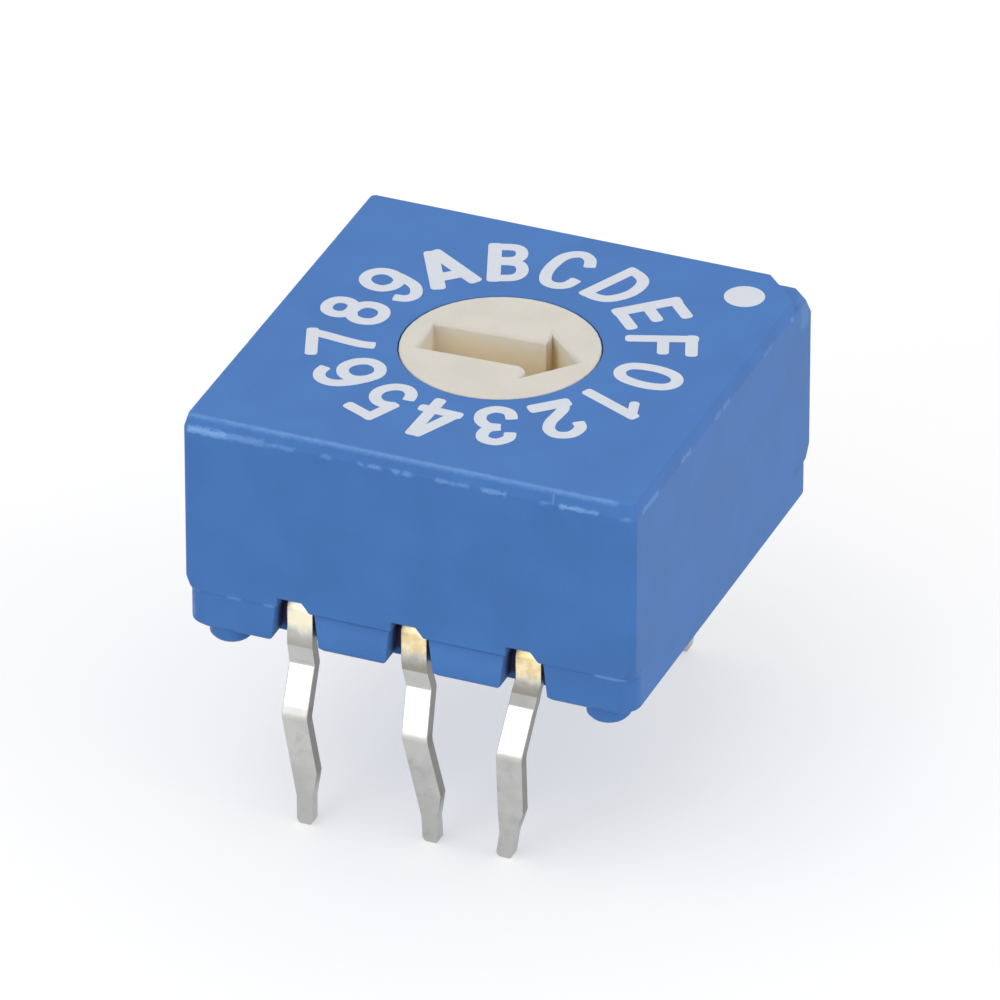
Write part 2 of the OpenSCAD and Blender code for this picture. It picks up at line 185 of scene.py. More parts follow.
CHARACTERS = {
    "0": [
        ("loop", [(0, 0.61), (0.26, 0.45), (0.355, 0), (0.26, -0.48), (0, -0.64),
                  (-0.26, -0.48), (-0.355, 0), (-0.26, 0.45)], STROKE),
    ],
    "1": [
        ("bar", [(0.08, 0.78), (0.07, -0.76)], STROKE),
        ("bar", [(0.16, 0.70), (-0.36, 0.28)], 0.21),
    ],
    "2": [
        ("curve", [(-0.33, 0.20), (-0.28, 0.46), (-0.01, 0.63), (0.27, 0.53),
                   (0.335, 0.28), (0.20, 0.02), (-0.02, -0.18), (-0.24, -0.40),
                   (-0.33, -0.68)], STROKE),
        ("bar", [(-0.48, -0.61), (0.45, -0.61)], BOLD),
    ],
    "3": [
        ("curve", [(-0.28, 0.28), (-0.25, 0.52), (0, 0.67), (0.25, 0.56),
                   (0.28, 0.34), (0.16, 0.14), (-0.08, 0.08)], STROKE),
        ("curve", [(-0.08, 0.08), (0.20, 0.02), (0.345, -0.22), (0.29, -0.50),
                   (0.02, -0.64), (-0.24, -0.52), (-0.30, -0.24)], STROKE),
    ],
    "4": [
        ("bar", [(0.20, 0.82), (0.19, -0.76)], STROKE),
        ("bar", [(0.13, 0.80), (-0.36, -0.34)], 0.27),
        ("bar", [(-0.49, -0.28), (0.49, -0.28)], STROKE),
    ],
    "5": [
        ("bar", [(-0.43, 0.67), (0.41, 0.67)], STROKE),
        ("bar", [(-0.30, 0.81), (-0.31, -0.09)], STROKE),
        ("curve", [(-0.34, 0.03), (-0.05, 0.15), (0.21, 0.04), (0.315, -0.22),
                   (0.21, -0.51), (-0.02, -0.64), (-0.25, -0.55), (-0.38, -0.33)], STROKE),
    ],
    "6": [
        ("curve", [(0.40, 0.39), (0.23, 0.59), (-0.03, 0.65), (-0.28, 0.47),
                   (-0.375, 0.10), (-0.365, -0.30)], STROKE),
        ("loop", [(0, 0.15), (0.26, 0.04), (0.36, -0.25), (0.26, -0.53), (0, -0.64),
                  (-0.26, -0.53), (-0.36, -0.25), (-0.26, 0.04)], STROKE),
    ],
    "7": [
        ("bar", [(-0.58, 0.59), (0.53, 0.59)], STROKE),
        ("curve", [(0.40, 0.68), (0.22, 0.28), (0.02, -0.12), (-0.12, -0.45),
                   (-0.17, -0.73)], STROKE),
    ],
    "8": [
        ("loop", [(0, 0.62), (0.22, 0.54), (0.30, 0.34), (0.22, 0.14), (0, 0.07),
                  (-0.22, 0.14), (-0.30, 0.34), (-0.22, 0.54)], STROKE),
        ("loop", [(0, 0.05), (0.26, -0.05), (0.35, -0.28), (0.26, -0.53), (0, -0.63),
                  (-0.26, -0.53), (-0.35, -0.28), (-0.26, -0.05)], STROKE),
    ],
    "9": [
        ("loop", [(0, 0.66), (0.25, 0.55), (0.345, 0.29), (0.25, 0.03), (0, -0.07),
                  (-0.25, 0.03), (-0.345, 0.29), (-0.25, 0.55)], STROKE),
        ("curve", [(0.33, 0.35), (0.355, 0), (0.31, -0.38), (0.08, -0.64),
                   (-0.16, -0.63), (-0.33, -0.40)], STROKE),
    ],
    "A": [
        ("bar", [(-0.02, 0.78), (-0.43, -0.78)], BOLD),
        ("bar", [(0.02, 0.78), (0.43, -0.78)], BOLD),
        ("bar", [(-0.34, -0.32), (0.34, -0.32)], BOLD),
    ],
    "B": [
        ("bar", [(-0.245, 0.83), (-0.245, -0.78)], 0.29),
        ("curve", [(-0.38, 0.67), (0.08, 0.67), (0.27, 0.59), (0.325, 0.39),
                   (0.26, 0.20), (0.07, 0.12), (-0.25, 0.12)], STROKE),
        ("curve", [(-0.25, 0.04), (0.08, 0.04), (0.28, -0.04), (0.35, -0.27),
                   (0.29, -0.50), (0.10, -0.62), (-0.38, -0.62)], STROKE),
    ],
    "C": [
        ("curve", [(0.39, 0.28), (0.27, 0.59), (0.02, 0.72), (-0.25, 0.52),
                   (-0.345, 0.12), (-0.33, -0.30), (-0.20, -0.61), (0.03, -0.69),
                   (0.25, -0.57), (0.35, -0.27)], STROKE),
    ],
    "D": [
        ("bar", [(-0.31, 0.84), (-0.31, -0.75)], STROKE),
        ("curve", [(-0.44, 0.69), (-0.05, 0.68), (0.22, 0.50), (0.345, 0.05),
                   (0.22, -0.41), (-0.05, -0.59), (-0.44, -0.60)], STROKE),
    ],
    "E": [
        ("bar", [(-0.345, 0.81), (-0.345, -0.73)], 0.31),
        ("bar", [(-0.50, 0.66), (0.41, 0.66)], STROKE),
        ("bar", [(-0.40, 0.035), (0.32, 0.035)], STROKE),
        ("bar", [(-0.50, -0.58), (0.43, -0.58)], STROKE),
    ],
    "F": [
        ("bar", [(-0.285, 0.75), (-0.285, -0.78)], STROKE),
        ("bar", [(-0.435, 0.60), (0.43, 0.60)], STROKE),
        ("bar", [(-0.35, 0.01), (0.36, 0.01)], 0.25),
    ],
}


# ---------------------------------------------------------------------------
# Settings
# ---------------------------------------------------------------------------


class SwitchSizes(bpy.types.PropertyGroup):
    """Sizes that the finish adds to the pieces."""

    cover_edge: bpy.props.FloatProperty(
        name="Cover Edge", description="Rounding of the cover's moulded edges",
        default=0.022 * MM, unit="LENGTH", precision=6)
    base_edge: bpy.props.FloatProperty(
        name="Base Edge", description="Rounding of the base's moulded edges",
        default=0.020 * MM, unit="LENGTH", precision=6)
    rotor_edge: bpy.props.FloatProperty(
        name="Rotor Edge", description="Rounding of the rotor's rim",
        default=0.045 * MM, unit="LENGTH", precision=6)
    slot_edge: bpy.props.FloatProperty(
        name="Slot Edge", description="Rounding of the arrow slot's upper edge",
        default=0.10 * MM, unit="LENGTH", precision=6)
    strip_edge: bpy.props.FloatProperty(
        name="Strip Edge", description="Rounding left on the terminals by the press",
        default=0.022 * MM, unit="LENGTH", precision=6)
    crest_edge: bpy.props.FloatProperty(
        name="Crest Edge", description="Rounding of the terminals' outward kink",
        default=0.09 * MM, unit="LENGTH", precision=6)
    ring_radius: bpy.props.FloatProperty(
        name="Character Ring", description="Radius on which the characters stand",
        default=3.33 * MM, unit="LENGTH", precision=6)
    ring_centre: bpy.props.FloatVectorProperty(
        name="Ring Centre", description="Where the print landed on the top face",
        default=(-0.033 * MM, 0.149 * MM), size=2, unit="LENGTH", precision=6)
    ring_turn: bpy.props.FloatProperty(
        name="Ring Turn", description="How far the print is turned on the top face",
        default=math.radians(-1.95), unit="ROTATION")
    ink_height: bpy.props.FloatProperty(
        name="Ink Height", description="Thickness of the pad-printed ink",
        default=0.006 * MM, unit="LENGTH", precision=6)
    stroke_corner: bpy.props.FloatProperty(
        name="Stroke Corner", description="Rounding at the ends of a printed stroke",
        default=0.085 * MM, unit="LENGTH", precision=6)
    dot_place: bpy.props.FloatVectorProperty(
        name="Dot Place", description="Centre of the printed corner dot",
        default=(3.915 * MM, 3.846 * MM), size=2, unit="LENGTH", precision=6)
    dot_diameter: bpy.props.FloatProperty(
        name="Dot Diameter", description="Width of the printed corner dot",
        default=0.86 * MM, unit="LENGTH", precision=6)


class SwitchColours(bpy.types.PropertyGroup):
    """Colours of the pieces, and of the shade and highlights painted on them, as linear values."""

    blue: bpy.props.FloatVectorProperty(
        name="Blue Plastic", description="Moulded colour of the cover and base",
        default=(0.067, 0.192, 0.498), size=3, subtype="COLOR")
    # Also the colour of painted edge highlights
    blue_scuff_and_highlight: bpy.props.FloatVectorProperty(
        name="Scuffed and Highlit Blue", description="Colour of rubbed edges and of painted edge highlights",
        default=(0.23, 0.44, 0.82), size=3, subtype="COLOR")
    ink: bpy.props.FloatVectorProperty(
        name="Ink", description="White of the printed characters",
        default=(0.66, 0.70, 0.77), size=3, subtype="COLOR")
    cream: bpy.props.FloatVectorProperty(
        name="Cream Plastic", description="Moulded colour of the rotor",
        default=(0.67, 0.64, 0.57), size=3, subtype="COLOR")
    # Painted warm shade down in the slot
    cream_slot_shade: bpy.props.FloatVectorProperty(
        name="Cream in Depth", description="Painted warm shade of the cream plastic down in the slot",
        default=(0.80, 0.70, 0.52), size=3, subtype="COLOR")
    # Painted brown shade in the nook behind the barb
    cream_nook_shade: bpy.props.FloatVectorProperty(
        name="Cream in the Nook", description="Painted brown shade in the narrow nook of the slot",
        default=(0.46, 0.34, 0.15), size=3, subtype="COLOR")
    # Painted shade for the terminal channels
    shade_and_mottle: bpy.props.FloatVectorProperty(
        name="Channel Shade", description="Painted dark shade deep in the terminal channels",
        default=(0.05, 0.035, 0.075), size=3, subtype="COLOR")
    gold: bpy.props.FloatVectorProperty(
        name="Gold Plate", description="Plating on the upper part of the terminals",
        default=(0.88, 0.70, 0.38), size=3, subtype="COLOR")
    gold_worn: bpy.props.FloatVectorProperty(
        name="Worn Gold", description="Paler blots of the gold plating",
        default=(0.94, 0.82, 0.56), size=3, subtype="COLOR")
    # A painted highlight
    gold_highlight: bpy.props.FloatVectorProperty(
        name="Pale Gold", description="Painted highlight on the gold of the front left terminal",
        default=(0.98, 0.93, 0.76), size=3, subtype="COLOR")
    tin: bpy.props.FloatVectorProperty(
        name="Tin Plate", description="Plating on the legs of the terminals",
        default=(0.54, 0.54, 0.52), size=3, subtype="COLOR")
    # Also painted shade on the terminals' sides
    cut: bpy.props.FloatVectorProperty(
        name="Cut Edge and Shade", description="Sheared sides of the terminals, also darkened as painted shade",
        default=(0.27, 0.26, 0.245), size=3, subtype="COLOR")
    # Also painted shade in the band under the gold
    stain_and_shade: bpy.props.FloatVectorProperty(
        name="Stain and Shade", description="Dull band where the two platings meet, also painted shade",
        default=(0.31, 0.295, 0.245), size=3, subtype="COLOR")
    rubber: bpy.props.FloatVectorProperty(
        name="Seal Rubber", description="Colour of the sealing ring",
        default=(0.020, 0.020, 0.022), size=3, subtype="COLOR")
    disc: bpy.props.FloatVectorProperty(
        name="Disc Plastic", description="Colour of the code disc",
        default=(0.030, 0.035, 0.030), size=3, subtype="COLOR")
    steel: bpy.props.FloatVectorProperty(
        name="Steel", description="Colour of the detent balls and springs",
        default=(0.66, 0.66, 0.68), size=3, subtype="COLOR")


class SwitchStage(bpy.types.PropertyGroup):
    """Camera, floor and light."""

    azimuth: bpy.props.FloatProperty(
        name="Camera Azimuth", description="Camera's angle from the front, towards the right",
        default=math.radians(22.21), unit="ROTATION")
    elevation: bpy.props.FloatProperty(
        name="Camera Elevation", description="Camera's angle above the horizon",
        default=math.radians(30.6), unit="ROTATION")
    distance: bpy.props.FloatProperty(
        name="Camera Distance", description="From the aim to the camera",
        default=278.8 * MM, unit="LENGTH")
    aim: bpy.props.FloatVectorProperty(
        name="Camera Aim", description="Point that the camera looks at",
        default=(-0.042 * MM, 0.035 * MM, 7.335 * MM), size=3, unit="LENGTH", precision=6)
    lens: bpy.props.FloatProperty(
        name="Lens", description="Focal length in millimetres", default=484.0)
    shift: bpy.props.FloatVectorProperty(
        name="Shift", description="Sideways and upward shift of the frame",
        default=(0.001, -0.068), size=2)
    floor: bpy.props.FloatVectorProperty(
        name="Floor", description="Colour of the floor",
        default=(0.62, 0.62, 0.62), size=3, subtype="COLOR")
    sky: bpy.props.FloatProperty(
        name="Sky", description="Even light from all round", default=0.80)
    key: bpy.props.FloatProperty(
        name="Key Lamp", description="Power of the large lamp overhead", default=0.26)
    front: bpy.props.FloatProperty(
        name="Front Lamp", description="Power of the low lamp before the switch", default=0.24)
    side: bpy.props.FloatProperty(
        name="Side Lamp", description="Power of the lamp to the right", default=0.40)


# ---------------------------------------------------------------------------
# Shader maths
# ---------------------------------------------------------------------------


class Wire:
    """A number that varies over a surface, written as a Python value."""

    def __init__(self, network, socket):
        self.network = network
        self.socket = socket

    def output(self, key):
        """Another output of the node that this one comes from."""
        return Wire(self.network, self.socket.node.outputs[key])

    def _math(self, operation, *values):
        return self.network.node(
            "ShaderNodeMath", {"operation": operation}, dict(enumerate(values)))

    def __add__(self, other):
        return self._math("ADD", self, other)

    def __radd__(self, other):
        return self._math("ADD", other, self)

    def __sub__(self, other):
        return self._math("SUBTRACT", self, other)

    def __rsub__(self, other):
        return self._math("SUBTRACT", other, self)

    def __mul__(self, other):
        return self._math("MULTIPLY", self, other)

    def __rmul__(self, other):
        return self._math("MULTIPLY", other, self)

    def __truediv__(self, other):
        return self._math("DIVIDE", self, other)

    def __pow__(self, other):
        return self._math("POWER", self, other)

    def __abs__(self):
        return self._math("ABSOLUTE", self)

    def larger(self, other):
        return self._math("MAXIMUM", self, other)

    def smaller(self, other):
        return self._math("MINIMUM", self, other)

    def rise(self, low, high):
        """0 below low, 1 above high, smooth between."""
        return self.network.node(
            "ShaderNodeMapRange", {"interpolation_type": "SMOOTHSTEP"},
            {"Value": self, "From Min": low, "From Max": high})

    def fall(self, low, high):
        """1 below low, 0 above high, smooth between."""
        return 1 - self.rise(low, high)

    def near(self, place, half, soft):
        """1 within half of a place, 0 beyond half plus soft."""
        return abs(self - place).fall(half, half + soft)


# The Mix node's colour sockets, which share their names with its other ones
COLOUR_A, COLOUR_B, COLOUR_OUT = 6, 7, 2


class Network:
    """The nodes of a material or of the world."""

    def __init__(self, holder):
        holder.use_nodes = True
        self.tree = holder.node_tree

    def put(self, socket, value):
        """Links a Wire to a socket, or writes a plain value on it."""
        if isinstance(value, Wire):
            self.tree.links.new(value.socket, socket)
        else:
            socket.default_value = value

    def node(self, kind, settings, inputs, output=0):
        """Makes a node, sets it up, fills its sockets and gives one output."""
        made = self.tree.nodes.new(kind)
        for key, value in settings.items():
            setattr(made, key, value)
        for key, value in inputs.items():
            self.put(made.inputs[key], value)
        return Wire(self, made.outputs[output])

    def parts(self, vector):
        """The three numbers of a vector."""
        apart = self.node("ShaderNodeSeparateXYZ", {}, {"Vector": vector})
        return [apart.output(axis) for axis in "XYZ"]

    def straight_view(self):
        """1 where the camera sees a surface directly, mirrored or through glass."""
        seen = self.node("ShaderNodeLightPath", {}, {}, "Is Camera Ray")
        mirrored, through = seen.output("Is Glossy Ray"), seen.output("Is Transmission Ray")
        return seen.larger(mirrored).larger(through)


def rgba(colour):
    """A colour as a socket takes it, whether a Wire or three numbers."""
    return colour if isinstance(colour, Wire) else (*colour, 1)


class Finish(Network):
    """One procedural material and the nodes that it is made of."""

    def __init__(self, name):
        self.material = bpy.data.materials.new(name)
        super().__init__(self.material)
        self.shader = self.tree.nodes["Principled BSDF"]
        self.where = self.node("ShaderNodeTexCoord", {}, {}, "Object")
        self.x, self.y, self.z = [part / MM for part in self.parts(self.where)]

    def noise(self, grain, detail=3.0, rough=0.55, stretch=(1, 1, 1)):
        """Noise with blots about grain mm wide."""
        at = self.node("ShaderNodeMapping", {}, {"Vector": self.where, "Scale": stretch})
        return self.node(
            "ShaderNodeTexNoise", {},
            {"Vector": at, "Scale": 1 / (grain * MM), "Detail": detail, "Roughness": rough})

    def blend(self, amount, first, second):
        """A colour between two, by amount."""
        return self.node(
            "ShaderNodeMix", {"data_type": "RGBA"},
            {"Factor": amount, COLOUR_A: rgba(first), COLOUR_B: rgba(second)}, COLOUR_OUT)

    def bump(self, height, strength, depth):
        """Fine relief of a given depth in mm."""
        return self.node(
            "ShaderNodeBump", {},
            {"Strength": strength, "Distance": depth * MM, "Height": height}, "Normal")

    def finish(self, colour, rough, metal=0.0, **others):
        """Feeds the shader and gives the material; others are its sockets, _ for a space."""
        inputs = {"Base_Color": rgba(colour), "Roughness": rough, "Metallic": metal, **others}
        for key, value in inputs.items():
            self.put(self.shader.inputs[key.replace("_", " ")], value)
        return self.material


# ---------------------------------------------------------------------------
# Finishes
# ---------------------------------------------------------------------------


def dimmed(colour, by):
    """A colour made lighter or darker by a factor."""
    return tuple(min(1.0, c * by) for c in colour)


def marks(along, places):
    """Short soft marks on a line, each a middle, a half length and a strength."""
    soft = [along.near(middle, half, MARK_FADE) * strength for middle, half, strength in places]
    return sum(soft[1:], soft[0])


class BluePlastic(Finish):
    """Moulded blue plastic and the lines of the box along which it gets worn and gets painted
    highlights, with painted shadow on the seam and painted shade in the terminal channels.
    """

    def __init__(self, name):
        super().__init__(name)
        self.side = abs(self.x).larger(abs(self.y))
        self.upper = ((self.side - (HALF - BEVEL_IN)) ** 2 + (self.z - TOP) ** 2) ** 0.5
        self.lower = ((self.side - HALF) ** 2 + (self.z - (TOP - BEVEL_DOWN)) ** 2) ** 0.5
        self.parting = abs(self.z - SEAM).larger(HALF - SEAM_REACH - self.side)
        self.streak = self.noise(0.30, 4.0, 0.65)
        self.nick = self.noise(0.12, 3.0, 0.70)
        self.ragged = (self.nick - 0.5) * 0.22
        self.drift = (self.streak - 0.5) * 0.45

    def front_wear_and_highlights(self):
        """A soft rubbed band on the upper line, chipped marks on the lower one, streaks on the
        seam: pale marks that are partly scuffs and partly painted edge highlights.
        """
        rub_and_highlight = self.x.rise(-4.9, -3.4) * 0.16 + 0.04 + 0.46 * self.streak
        rub_and_highlight = rub_and_highlight * self.x.fall(4.50, 4.66) * (self.upper + self.ragged * 0.5).fall(0.0, 0.12)
        ragged_line = self.lower + self.ragged
        along = self.x + self.drift
        chips_and_glints = marks(along, FRONT_CHIPS_AND_GLINTS) * (0.1 + 2.2 * self.nick) * ragged_line.fall(0.0, 0.08)
        gouges_and_glints = marks(along, FRONT_GOUGES_AND_GLINTS) * (0.2 + 1.4 * self.nick)
        gouges_and_glints = gouges_and_glints * ragged_line.fall(0.02, 0.12)
        at, height = FRONT_LINK
        link = self.x.near(at, 0.008, 0.03) * self.side.rise(HALF - 0.10, HALF - 0.06)
        link = link * self.z.near(height, 0.13, 0.04) * 0.28
        seam = marks(self.x, FRONT_SEAM_SCUFFS_AND_HIGHLIGHTS) * self.parting.fall(0.010, 0.060)
        at, height = FRONT_CORNER_SCUFF_AND_HIGHLIGHT
        corner = self.x.near(at, 0.02, 0.05) * self.z.near(height, 0.10, 0.12) * 0.30
        return rub_and_highlight.larger(chips_and_glints).larger(gouges_and_glints).larger(link).larger(seam).larger(corner)

    def right_wear_and_highlights(self):
        """Short pale streaks on the lower line, partly scuffs and partly painted edge highlights,
        and a painted highlight below the key corner.
        """
        streaks = marks(self.y + self.drift, RIGHT_STREAKS) * (0.1 + 1.6 * self.nick)
        streaks = streaks * (self.lower + self.ragged).fall(0.0, 0.085)
        # A painted highlight below the key corner
        at, height = RIGHT_KEY_HIGHLIGHT
        key_highlight = self.y.near(at, 0.10, 0.25) * self.z.near(height, 0.15, 0.30) * 0.22
        return streaks.larger(key_highlight)

    def other_wear_and_highlights(self):
        """Faint broken pale streaks on both lines, at the left and the back, partly scuffs and
        partly painted edge highlights.
        """
        lines = self.upper.smaller(self.lower)
        return self.streak.rise(0.50, 0.66) * lines.fall(0.01, 0.075) * 0.35

    def dark_marks_and_seam_shadow(self):
        """Darker marks low on the right side: a slanted one near the front, and painted shadow on
        the seam near the back.
        """
        at, height = RIGHT_SLANT
        slant = self.z - height - (self.y - at) * 0.5 + self.ragged
        near_front = self.y.near(at, 0.03, 0.10) * slant.near(0, 0.015, 0.06)
        # Painted shadow on the seam
        seam_shadow = (self.parting + self.ragged).fall(0.0, 0.10)
        return near_front + self.y.near(RIGHT_SEAM_SHADOW, 0.10, 0.22) * seam_shadow

    def channels(self):
        """1 deep in the terminal channels, below the cover's wall, where shade is painted."""
        inside = self.side.fall(HALF - 0.42, HALF - 0.17)
        return inside * self.z.near(SEAM - 0.10, 0.56, 0.12)


def blue_plastic(colours, name):
    """Moulded blue plastic, rubbed pale along its square edges, with painted edge highlights there,
    painted shadow on the seam and painted shade in the terminal channels.
    """
    f = BluePlastic(name)
    cloud = f.noise(1.6, 2.0)
    speck = f.noise(0.05, 2.0)
    front = (0 - f.y).rise(*FACE_BAND)
    right = f.x.rise(*FACE_BAND) * (1 - front)
    others = (1 - front) * (1 - right)
    scuff_and_highlight = front * f.front_wear_and_highlights() + right * f.right_wear_and_highlights() + others * f.other_wear_and_highlights()

    body = f.blend(cloud.rise(0.35, 0.65), dimmed(colours.blue, 0.96), dimmed(colours.blue, 1.04))
    body = f.blend(speck.rise(0.55, 0.80) * 0.25, body, dimmed(colours.blue, 1.35))
    # Pale marks on the edges: scuffs and painted edge highlights
    body = f.blend(scuff_and_highlight, body, colours.blue_scuff_and_highlight)
    # Darker marks low on the right side, with painted shadow on the seam
    body = f.blend(f.dark_marks_and_seam_shadow() * right * 0.45, body, dimmed(colours.blue, 0.60))
    # Painted shade deep in the terminal channels
    body = f.blend(f.channels() * 0.85, body, colours.shade_and_mottle)
    rough = 0.40 + 0.10 * cloud + 0.15 * scuff_and_highlight
    relief = f.bump(speck * 0.6 + f.noise(0.25, 3.0) * 0.8, 0.35, 0.006)
    return f.finish(body, rough, Normal=relief, Specular_IOR_Level=0.10)


def cream_plastic(colours):
    """Moulded cream plastic, with warm shade painted down in its slot, and brown shade and faint
    emitted light painted in the nook behind the barb.
    """
    f = Finish("cream_plastic")
    cloud = f.noise(0.8, 3.0)
    # Mottle noise that varies the painted slot shade, the roughness and the relief
    shade_and_mottle = f.noise(0.22, 3.0)
    body = f.blend(cloud.rise(0.35, 0.65), dimmed(colours.cream, 0.97), dimmed(colours.cream, 1.02))
    # Painted warm shade down in the slot, varied by the mottle noise
    depth = f.z.fall(*SLOT_DEPTH) * (f.x * f.x + f.y * f.y).fall(*SLOT_ROOM)
    nook = f.x.near(NOOK_X, 0.06, 0.08) * f.y.rise(*NOOK_Y) * depth
    colour = f.blend(depth * (0.80 + 0.20 * shade_and_mottle), body, colours.cream_slot_shade)
    # Painted brown shade in the nook
    colour = f.blend(nook * 0.85, colour, colours.cream_nook_shade)
    # Faint light painted into the nook by emission, though it is no lamp
    nook_painted_light = f.blend(nook, (0, 0, 0), dimmed(colours.cream_nook_shade, 0.14))
    relief = f.bump(shade_and_mottle + f.noise(0.06, 2.0) * 0.5, 0.30, 0.008)
    return f.finish(
        colour, 0.42 + 0.12 * shade_and_mottle, Normal=relief, Specular_IOR_Level=0.45,
        Emission_Color=nook_painted_light, Emission_Strength=1.0,
        Subsurface_Weight=0.15, Subsurface_Scale=0.25 * MM)


def plated_strip(colours):
    """Terminal strip, gold above and tin on the legs, bare metal at its stamped sides, which are
    also darkened as painted shade; a band under the gold is also painted shade, and the front left
    strip's gold has a painted highlight.
    """
    f = Finish("plated_strip")
    grain = f.noise(0.10, 3.0, 0.6, (1, 1, 0.12))
    blot = f.noise(0.22, 3.0)
    wide = f.noise(0.9, 2.0)
    tarnish = f.noise(0.30, 4.0, 0.65)
    uneven = f.z + (blot - 0.5) * 0.35
    leg = f.z.fall(*LEG_TOP)
    left = f.x.fall(-2.3, -1.2)

    tin = f.blend(wide.rise(0.35, 0.65), dimmed(colours.tin, 0.93), dimmed(colours.tin, 1.07))
    tin = f.blend(f.z.fall(*TIP_SHADE) * 0.6, tin, dimmed(colours.tin, 0.86))
    tin = f.blend(tarnish.rise(0.50, 0.72) * leg * 0.5, tin, dimmed(colours.tin, 0.70))
    # A dull band under the gold, stained where the platings meet and darkened as painted shade
    stain_and_shade = uneven.fall(*STAIN_SHADE_HIGH) * f.z.rise(*STAIN_SHADE_LOW) * (0.95 - 0.35 * left)
    tin = f.blend(stain_and_shade, tin, colours.stain_and_shade)

    # Painted highlight: the front left strip's gold is made lightest, where it catches the light
    left_gold_highlight = left * f.y.fall(-1, 0) * 0.7
    pale = blot.rise(0.42, 0.62).larger(left_gold_highlight)
    gold = f.blend(pale, dimmed(colours.gold, 0.95), colours.gold_worn)
    gold = f.blend(left_gold_highlight, gold, colours.gold_highlight)
    colour = f.blend(uneven.rise(*GOLD_LINE), tin, gold)

    facing = f.parts(f.node("ShaderNodeNewGeometry", {}, {}, "Normal"))
    # Sides facing left or right: bare stamped metal, also darkened as painted shade
    sheared_and_shaded = abs(facing[0]).rise(0.60, 0.85) * f.z.rise(*CUT_AND_SHADE_SIDES)
    colour = f.blend(sheared_and_shaded * (0.80 + 0.20 * grain), colour, colours.cut)
    rough = 0.17 + 0.10 * grain + 0.06 * blot + 0.15 * sheared_and_shaded + 0.10 * tarnish * leg
    rough = rough + 0.22 * uneven.rise(*UPPER_BEND) + 0.22 * f.z.near(CREST / MM, 0.08, 0.14)
    relief = f.bump(grain + blot * 0.6, 0.20, 0.005)
    return f.finish(colour, rough, 1.0, Normal=relief)


def white_ink(colours):
    """Pad-printed white ink, a little thin in places."""
    f = Finish("white_ink")
    thin = f.noise(0.30, 3.0)
    colour = f.blend(thin.rise(0.45, 0.75) * 0.5, colours.ink, dimmed(colours.ink, 0.93))
    relief = f.bump(f.noise(0.05, 2.0), 0.25, 0.004)
    return f.finish(colour, 0.38 + 0.12 * thin, Normal=relief)


def black_rubber(colours):
    """Soft seal rubber with a dusty bloom."""
    f = Finish("black_rubber")
    bloom = f.noise(0.25, 4.0)
    colour = f.blend(bloom.rise(0.45, 0.75), colours.rubber, dimmed(colours.rubber, 2.4))
    return f.finish(colour, 0.62 + 0.2 * bloom, Normal=f.bump(bloom, 0.3, 0.006))


def dark_disc(colours):
    """Dark glass-filled plastic with fine fibres."""
    f = Finish("dark_disc")
    fibre = f.noise(0.08, 3.0, 0.6, (1, 0.2, 1))
    colour = f.blend(fibre.rise(0.55, 0.70) * 0.6, colours.disc, dimmed(colours.disc, 2.6))
    return f.finish(colour, 0.45 + 0.2 * fibre, Normal=f.bump(fibre, 0.3, 0.005))


def gold_contact(colours):
    """Gold-plated contact sheet with wiper tracks."""
    f = Finish("gold_contact")
    radius = (f.x * f.x + f.y * f.y) ** 0.5
    track = f.node(
        "ShaderNodeTexWave", {"wave_type": "RINGS", "rings_direction": "Z"},
        {"Vector": f.where, "Scale": 2600.0, "Distortion": 0.6})
    blot = f.noise(0.5, 3.0)
    colour = f.blend(blot.rise(0.40, 0.70), colours.gold, dimmed(colours.gold, 0.84))
    rough = 0.22 + 0.12 * track * radius.rise(1.0, 1.6) + 0.08 * blot
    return f.finish(colour, rough, 1.0, Normal=f.bump(track, 0.15, 0.003))


def bright_steel(colours, name, grain_way, rough):
    """Hard bright steel with a drawn or rolled grain."""
    f = Finish(name)
    grain = f.noise(0.05, 3.0, 0.6, grain_way)
    colour = f.blend(grain.rise(0.40, 0.65), colours.steel, dimmed(colours.steel, 0.86))
    return f.finish(colour, rough + 0.12 * grain, 1.0, Normal=f.bump(grain, 0.15, 0.002))


# ---------------------------------------------------------------------------
# Shapes
# ---------------------------------------------------------------------------


def finished_piece(bm, name, material, body, smooth=35):
    """Makes the object of a finished mesh, at the origin, riding on its body."""
    mesh = bpy.data.meshes.new(name)
    bm.to_mesh(mesh)
    bm.free()
    mesh.materials.append(material)
    mesh.shade_smooth()
    mesh.set_sharp_from_angle(angle=math.radians(smooth))
    piece = bpy.data.objects.new(name, mesh)
    bpy.context.scene.collection.objects.link(piece)
    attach(piece, body)
    return piece


def soft_normals(piece):
    """Lets the broad faces keep flat shading beside their rounded edges."""
    shading = piece.modifiers.new("soft_normals", "WEIGHTED_NORMAL")
    shading.keep_sharp = True
    shading.weight = 100


def joined_copy(node):
    """The mesh of a CAD node with its loose triangles joined into flat faces."""
    bm = bmesh.new()
    bm.from_mesh(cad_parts[node].data)
    bmesh.ops.remove_doubles(bm, verts=bm.verts, dist=CAD_WELD)
    bmesh.ops.dissolve_limit(
        bm, angle_limit=math.radians(FLAT_TURN), use_dissolve_boundaries=False,
        verts=bm.verts, edges=bm.edges, delimit=set())
    return bm


def round_edges(bm, edges, width, segments=2):
    """Rounds the chosen edges."""
    bmesh.ops.bevel(
        bm, geom=edges, offset=width, offset_type="OFFSET", segments=segments,
        profile=0.5, affect="EDGES", material=-1, clamp_overlap=False)


